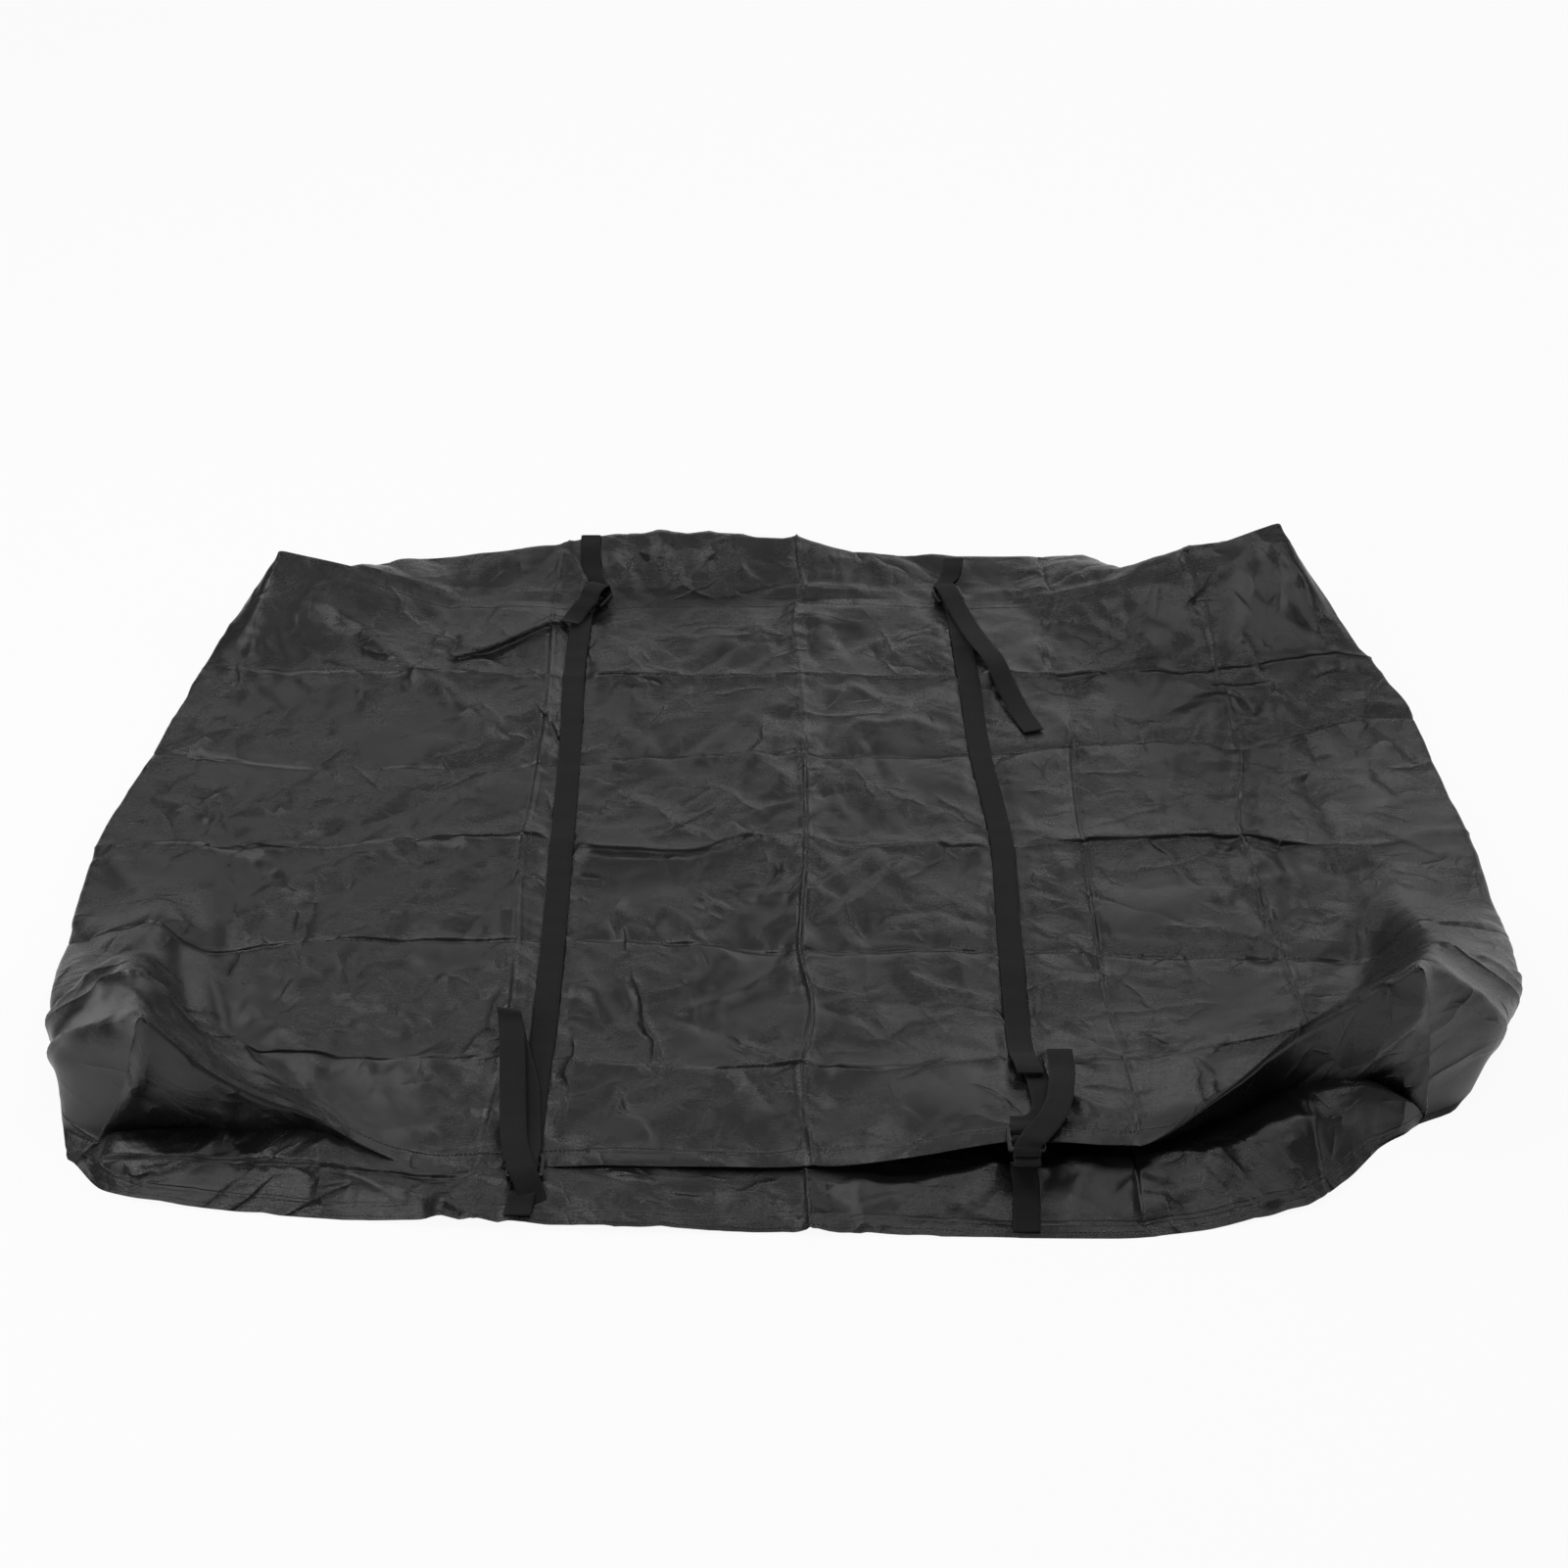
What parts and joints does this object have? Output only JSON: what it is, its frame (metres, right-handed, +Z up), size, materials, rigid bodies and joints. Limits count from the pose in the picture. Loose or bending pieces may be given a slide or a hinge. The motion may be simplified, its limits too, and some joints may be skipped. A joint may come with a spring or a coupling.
{
  "type": "roof rack cover",
  "caption": "Soft tub-shaped cover of coated cloth for a roof rack's load, with webbing straps and ladder-lock buckles, lying empty with its walls folded in.",
  "frame": {"origin": "middle of the cover's box, on the floor it lies on", "axes": "+X to the right along the long side, +Y from the front hem to the back, +Z up"},
  "size_m": [1.4934, 1.1546, 0.1975],
  "materials": {
    "coated_cloth": "satin coated",
    "webbing": "matte ribbed",
    "buckle_plastic": "satin moulded"
  },
  "bodies": {
    "root": {"top_and_side_walls": "coated_cloth", "front_wall": "coated_cloth", "back_wall": "coated_cloth", "left_top_strap": "webbing", "right_top_strap": "webbing", "front_left_wall_strap": "webbing", "front_right_wall_strap": "webbing", "back_left_wall_strap": "webbing", "back_right_wall_strap": "webbing", "front_left_buckle": "buckle_plastic", "front_right_buckle": "buckle_plastic", "back_left_buckle": "buckle_plastic", "back_right_buckle": "buckle_plastic"}
  },
  "joints": []
}
